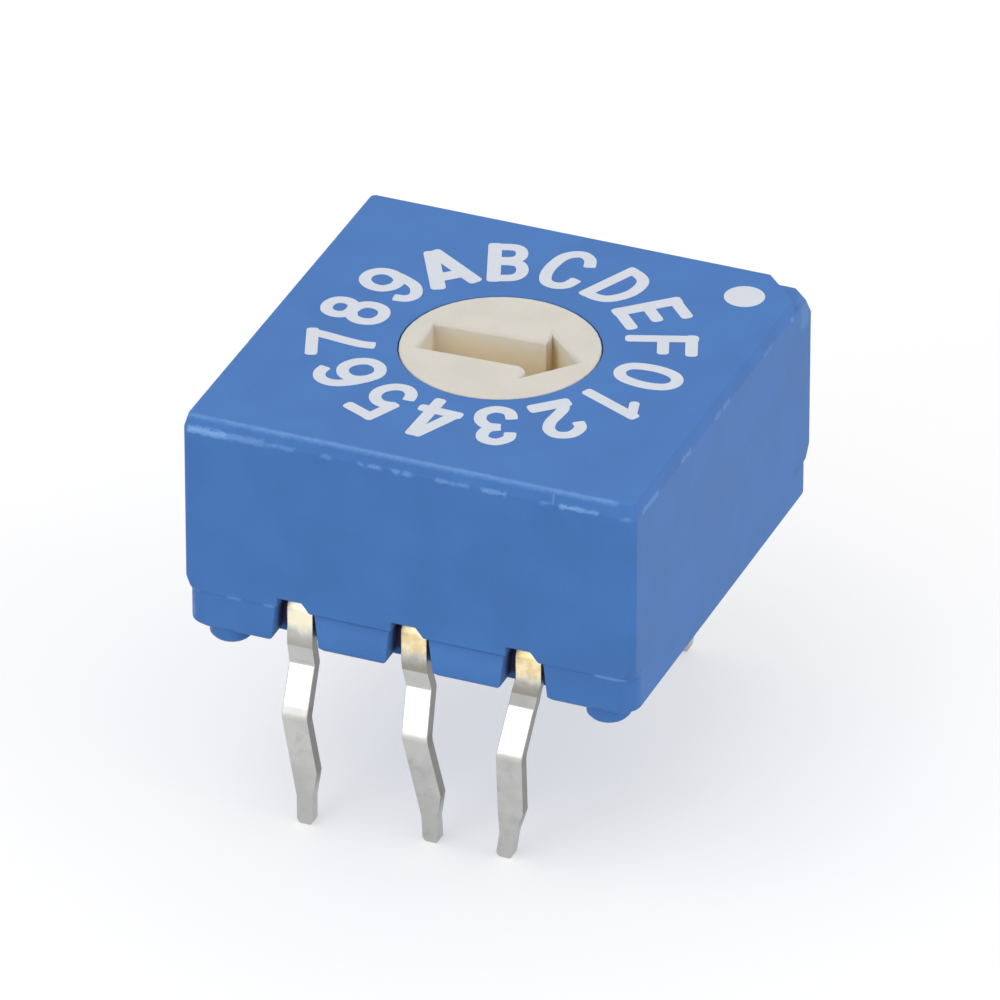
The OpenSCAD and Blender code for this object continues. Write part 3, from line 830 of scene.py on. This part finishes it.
def outer_edges(bm, least_turn, test=lambda middle: True, hollows=False):
    """Edges that turn by more than an angle, where the test holds, hollow ones if asked."""
    return [
        e for e in bm.edges
        if len(e.link_faces) == 2 and (e.is_convex or hollows)
        and e.calc_face_angle() > math.radians(least_turn)
        and test((e.verts[0].co + e.verts[1].co) / 2)
    ]


class SWITCH_OT_cover(bpy.types.Operator):
    """Makes the blue cover with softened moulded edges"""

    bl_idname = "switch.cover"
    bl_label = "Cover"

    def execute(self, context):
        sizes, colours = context.scene.switch_sizes, context.scene.switch_colours
        bm = joined_copy("cover")

        def seen(middle):
            side = max(abs(middle.x), abs(middle.y))
            return middle.z > COVER_HIGH.z - KEY_DEPTH or side > COVER_HIGH.x - COVER_WALL

        round_edges(bm, outer_edges(bm, MOULDED_TURN, seen), sizes.cover_edge)
        material = blue_plastic(colours, "blue_cover_plastic")
        piece = finished_piece(bm, "cover_shell", material, "housing")
        soft_normals(piece)
        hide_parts("cover")
        return {"FINISHED"}


class SWITCH_OT_base(bpy.types.Operator):
    """Makes the blue base with softened moulded edges"""

    bl_idname = "switch.base"
    bl_label = "Base"

    def execute(self, context):
        sizes, colours = context.scene.switch_sizes, context.scene.switch_colours
        bm = joined_copy("base")

        def seen(middle):
            return middle.z < COVER_LOW.z

        round_edges(bm, outer_edges(bm, MOULDED_TURN, seen), sizes.base_edge)
        material = blue_plastic(colours, "blue_base_plastic")
        piece = finished_piece(bm, "base_shell", material, "housing")
        soft_normals(piece)
        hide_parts("base")
        return {"FINISHED"}


class SWITCH_OT_rotor(bpy.types.Operator):
    """Makes the cream rotor with a rounded rim and arrow slot"""

    bl_idname = "switch.rotor"
    bl_label = "Rotor"

    def execute(self, context):
        sizes, colours = context.scene.switch_sizes, context.scene.switch_colours
        bm = joined_copy("rotor")

        def seen(middle):
            return middle.z > ROTOR_HIGH.z - SAME

        rim = max(v.co.xy.length for v in bm.verts if seen(v.co))

        def inner(middle):
            return seen(middle) and middle.xy.length < rim - SLOT_MARGIN

        round_edges(bm, outer_edges(bm, SLOT_TURN, inner), sizes.slot_edge, 3)
        round_edges(bm, outer_edges(bm, RIM_TURN, seen), sizes.rotor_edge, 3)
        piece = finished_piece(
            bm, "rotor_drum", cream_plastic(colours), "turning")
        soft_normals(piece)
        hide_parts("rotor")
        return {"FINISHED"}


class SWITCH_OT_terminals(bpy.types.Operator):
    """Makes the six plated terminals with pressed edges and soft bends"""

    bl_idname = "switch.terminals"
    bl_label = "Terminals"

    def execute(self, context):
        sizes, colours = context.scene.switch_sizes, context.scene.switch_colours
        material = plated_strip(colours)

        def crest(middle):
            return abs(middle.z - CREST) < CREST_REACH

        def level(edge):
            ends = edge.verts[0].co - edge.verts[1].co
            return abs(ends.z) < SAME and abs(ends.y) < SAME

        for node in TERMINALS:
            bm = joined_copy(node)
            bends = [e for e in outer_edges(bm, MOULDED_TURN, crest, True) if level(e)]
            round_edges(bm, bends, sizes.crest_edge, 4)
            round_edges(bm, outer_edges(bm, MOULDED_TURN, hollows=True), sizes.strip_edge)
            piece = finished_piece(
                bm, node + "_strip", material, "housing", 25)
            soft_normals(piece)
            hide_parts(node)
        return {"FINISHED"}


class SWITCH_OT_inner_parts(bpy.types.Operator):
    """Gives the seal, code disc, contact plate, balls and springs their finishes"""

    bl_idname = "switch.inner_parts"
    bl_label = "Inner Parts"

    def execute(self, context):
        colours = context.scene.switch_colours
        ball = bright_steel(colours, "ball_steel", (1, 1, 1), 0.12)
        spring = bright_steel(colours, "spring_steel", (0.2, 1, 1), 0.28)
        finishes = {
            "seal_ring": black_rubber(colours),
            "code_disc": dark_disc(colours),
            "code_plate": gold_contact(colours),
            "detent_ball_right": ball,
            "detent_ball_left": ball,
            "detent_spring_right": spring,
            "detent_spring_left": spring,
        }
        for node, material in finishes.items():
            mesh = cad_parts[node].data
            mesh.materials.clear()
            mesh.materials.append(material)
        return {"FINISHED"}


# ---------------------------------------------------------------------------
# Printed characters
# ---------------------------------------------------------------------------

# Straight pieces between two points of a smooth stroke
PATH_STEPS = 6

# In mm: how close a loop's two ends are joined, and how much higher a character's
# next stroke lies, so that no two faces lie in one plane
LOOP_WELD = 0.001
LAYER_STEP = 0.0004

# Straight pieces round the dot's edge
DOT_SIDES = 48


def smooth_path(points, closed):
    """Points of a smooth line through the given ones."""
    knots = [Vector((x, y, 0)) for x, y in points]
    count = len(knots)

    def knot(i):
        return knots[i % count] if closed else knots[max(0, min(count - 1, i))]

    path = []
    for i in range(count if closed else count - 1):
        start, end = knot(i), knot(i + 1)
        lead = start + (end - knot(i - 1)) / 6
        trail = end - (knot(i + 2) - start) / 6
        path += interpolate_bezier(start, lead, trail, end, PATH_STEPS + 1)[:-1]
    return path if closed else path + [knots[-1]]


def points_of(geometry):
    """The vertices in what an operator gives back."""
    return [g for g in geometry if isinstance(g, bmesh.types.BMVert)]


def ribbon(bm, kind, points, width):
    """Draws one flat stroke into the mesh and gives its open corners."""
    closed = kind == "loop"
    path = [Vector((x, y, 0)) for x, y in points] if kind == "bar" else smooth_path(points, closed)
    count = len(path)

    def across(i):
        ahead = path[(i + 1) % count] if closed else path[min(count - 1, i + 1)]
        behind = path[(i - 1) % count] if closed else path[max(0, i - 1)]
        along = (ahead - behind).normalized()
        return Vector((-along.y, along.x, 0)) * (width / 2)

    verts = [bm.verts.new(path[0] + side * across(0)) for side in (1, -1)]
    edge = bm.edges.new(verts)
    for i in range(1, (count + 1) if closed else count):
        grown = bmesh.ops.extrude_edge_only(bm, edges=[edge])["geom"]
        edge = next(g for g in grown if isinstance(g, bmesh.types.BMEdge))
        beside = verts[-2].co
        new = sorted(points_of(grown), key=lambda vert: (vert.co - beside).length)
        for vert, side in zip(new, (1, -1)):
            vert.co = path[i % count] + side * across(i % count)
        verts += new
    if closed:
        bmesh.ops.remove_doubles(bm, verts=verts, dist=LOOP_WELD)
        return []
    return verts[:2] + verts[-2:]


def raise_ink(bm, height):
    """Gives a flat shape its thickness."""
    raised = bmesh.ops.extrude_face_region(bm, geom=bm.faces[:])["geom"]
    bmesh.ops.translate(bm, verts=points_of(raised), vec=(0, 0, height))
    bmesh.ops.recalc_face_normals(bm, faces=bm.faces)


def stroke_mesh(kind, points, width, height, corner):
    """One raised stroke with rounded ends, as a mesh in mm."""
    bm = bmesh.new()
    ends = ribbon(bm, kind, points, width)
    if ends:
        bmesh.ops.bevel(
            bm, geom=ends, offset=corner, offset_type="OFFSET", segments=4,
            profile=0.5, affect="VERTICES", material=-1)
    bmesh.ops.recalc_face_normals(bm, faces=bm.faces)
    raise_ink(bm, height)
    mesh = bpy.data.meshes.new("stroke")
    bm.to_mesh(mesh)
    bm.free()
    return mesh


class SWITCH_OT_print(bpy.types.Operator):
    """Prints the sixteen characters and the corner dot on the cover"""

    bl_idname = "switch.print"
    bl_label = "Print"

    def execute(self, context):
        sizes, colours = context.scene.switch_sizes, context.scene.switch_colours
        ink = white_ink(colours)
        step = math.tau / len(CHARACTERS)
        for number, (character, strokes) in enumerate(CHARACTERS.items()):
            bm = bmesh.new()
            for layer, (kind, points, width) in enumerate(strokes):
                height = sizes.ink_height / MM + LAYER_STEP * layer
                mesh = stroke_mesh(kind, points, width, height, sizes.stroke_corner / MM)
                bm.from_mesh(mesh)
                bpy.data.meshes.remove(mesh)
            angle = sizes.ring_turn - number * step
            centre = Vector((*sizes.ring_centre, COVER_HIGH.z))
            out = Vector((math.cos(angle), math.sin(angle), 0)) * sizes.ring_radius
            place = (
                Matrix.Translation(centre + out)
                @ Matrix.Rotation(angle - math.pi / 2, 4, "Z")
                @ Matrix.Scale(MM, 4))
            bmesh.ops.transform(bm, matrix=place, verts=bm.verts)
            finished_piece(bm, "printed_" + character, ink, "housing")

        bm = bmesh.new()
        bmesh.ops.create_circle(
            bm, cap_ends=True, segments=DOT_SIDES, radius=sizes.dot_diameter / 2)
        raise_ink(bm, sizes.ink_height)
        bmesh.ops.translate(bm, verts=bm.verts, vec=(*sizes.dot_place, COVER_HIGH.z))
        finished_piece(bm, "printed_corner_dot", ink, "housing")
        return {"FINISHED"}


# ---------------------------------------------------------------------------
# Stage
# ---------------------------------------------------------------------------


# Lamps: side in metres, azimuth and elevation in degrees, distance in metres, colour
LAMPS = {
    "key": (0.30, -35, 62, 0.45, (1.0, 1.0, 1.0)),
    "front": (0.185, -18, 19.5, 0.40, (1.0, 1.0, 1.0)),
    "side": (0.25, 88, 15, 0.45, (0.97, 0.93, 1.0)),
}

# Half the floor's side, in metres
FLOOR_SIZE = 2.0

# How bright the camera sees the floor where nothing shades it
FLOOR_WHITE = 1.04


def stand(name, data, aim, azimuth, elevation, distance):
    """Places a lamp or the camera away from its aim and faces it there."""
    made = bpy.data.objects.new(name, data)
    bpy.context.scene.collection.objects.link(made)
    away = Vector((
        math.sin(azimuth) * math.cos(elevation),
        -math.cos(azimuth) * math.cos(elevation),
        math.sin(elevation)))
    made.location = aim + away * distance
    made.rotation_euler = away.to_track_quat("Z", "Y").to_euler()
    return made


def lay_floor(colour):
    """Lays a pale card that looks white and still takes the switch's shadow."""
    bm = bmesh.new()
    bmesh.ops.create_grid(bm, x_segments=1, y_segments=1, size=FLOOR_SIZE)
    mesh = bpy.data.meshes.new("floor")
    bm.to_mesh(mesh)
    bm.free()
    floor = bpy.data.objects.new("floor", mesh)
    bpy.context.scene.collection.objects.link(floor)
    f = Finish("floor_card")
    lift = f.blend(f.straight_view() * (FLOOR_WHITE - colour[0]), (0, 0, 0), (1, 1, 1))
    mesh.materials.append(f.finish(
        colour, 0.9, Specular_IOR_Level=0.0, Emission_Color=lift, Emission_Strength=1.0))


class SWITCH_OT_stage(bpy.types.Operator):
    """Sets up the floor, the light and the camera"""

    bl_idname = "switch.stage"
    bl_label = "Stage"

    def execute(self, context):
        scene, stage = context.scene, context.scene.switch_stage
        scene.view_settings.view_transform = "Standard"
        lay_floor(stage.floor)

        # Even light all round, and white where it is seen straight
        scene.world = bpy.data.worlds.new("studio")
        sky = Network(scene.world)
        background = sky.tree.nodes["Background"].inputs
        sky.put(background["Color"], (1, 1, 1, 1))
        sky.put(background["Strength"], sky.straight_view() * (1 - stage.sky) + stage.sky)

        aim = Vector(stage.aim)
        for name, (size, azimuth, elevation, distance, colour) in LAMPS.items():
            light = bpy.data.lights.new(name + "_lamp", "AREA")
            light.shape = "SQUARE"
            light.size = size
            light.energy = getattr(stage, name)
            light.color = colour
            stand(name + "_lamp", light, aim,
                  math.radians(azimuth), math.radians(elevation), distance)

        data = bpy.data.cameras.new("camera")
        data.lens = stage.lens
        data.sensor_width = 36.0
        data.shift_x, data.shift_y = stage.shift
        data.clip_start = 0.01
        data.clip_end = 10.0
        scene.camera = stand(
            "camera", data, aim, stage.azimuth, stage.elevation, stage.distance)
        return {"FINISHED"}


# ---------------------------------------------------------------------------
# Add-on
# ---------------------------------------------------------------------------


STEPS = [
    SWITCH_OT_cover,
    SWITCH_OT_base,
    SWITCH_OT_rotor,
    SWITCH_OT_terminals,
    SWITCH_OT_inner_parts,
    SWITCH_OT_print,
    SWITCH_OT_stage,
]


class SWITCH_PT_panel(bpy.types.Panel):
    """Lists the steps and their settings"""

    bl_idname = "SWITCH_PT_panel"
    bl_label = "Coded Rotary Switch"
    bl_space_type = "VIEW_3D"
    bl_region_type = "UI"
    bl_category = "Switch"

    def draw(self, context):
        for step in STEPS:
            self.layout.operator(step.bl_idname)
        for group in ("switch_sizes", "switch_colours", "switch_stage"):
            settings = getattr(context.scene, group)
            box = self.layout.box()
            for name in settings.__annotations__:
                box.prop(settings, name)


GROUPS = {
    "switch_sizes": SwitchSizes,
    "switch_colours": SwitchColours,
    "switch_stage": SwitchStage,
}


def register():
    for made in [*GROUPS.values(), *STEPS, SWITCH_PT_panel]:
        bpy.utils.register_class(made)
    for name, group in GROUPS.items():
        setattr(bpy.types.Scene, name, bpy.props.PointerProperty(type=group))


def unregister():
    for name in GROUPS:
        delattr(bpy.types.Scene, name)
    for made in [SWITCH_PT_panel, *reversed(STEPS), *GROUPS.values()]:
        bpy.utils.unregister_class(made)


def main():
    """Makes every piece and the stage."""
    register()
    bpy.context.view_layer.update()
    for step in STEPS:
        space, name = step.bl_idname.split(".")
        getattr(getattr(bpy.ops, space), name)()


if __name__ == "__main__":
    main()
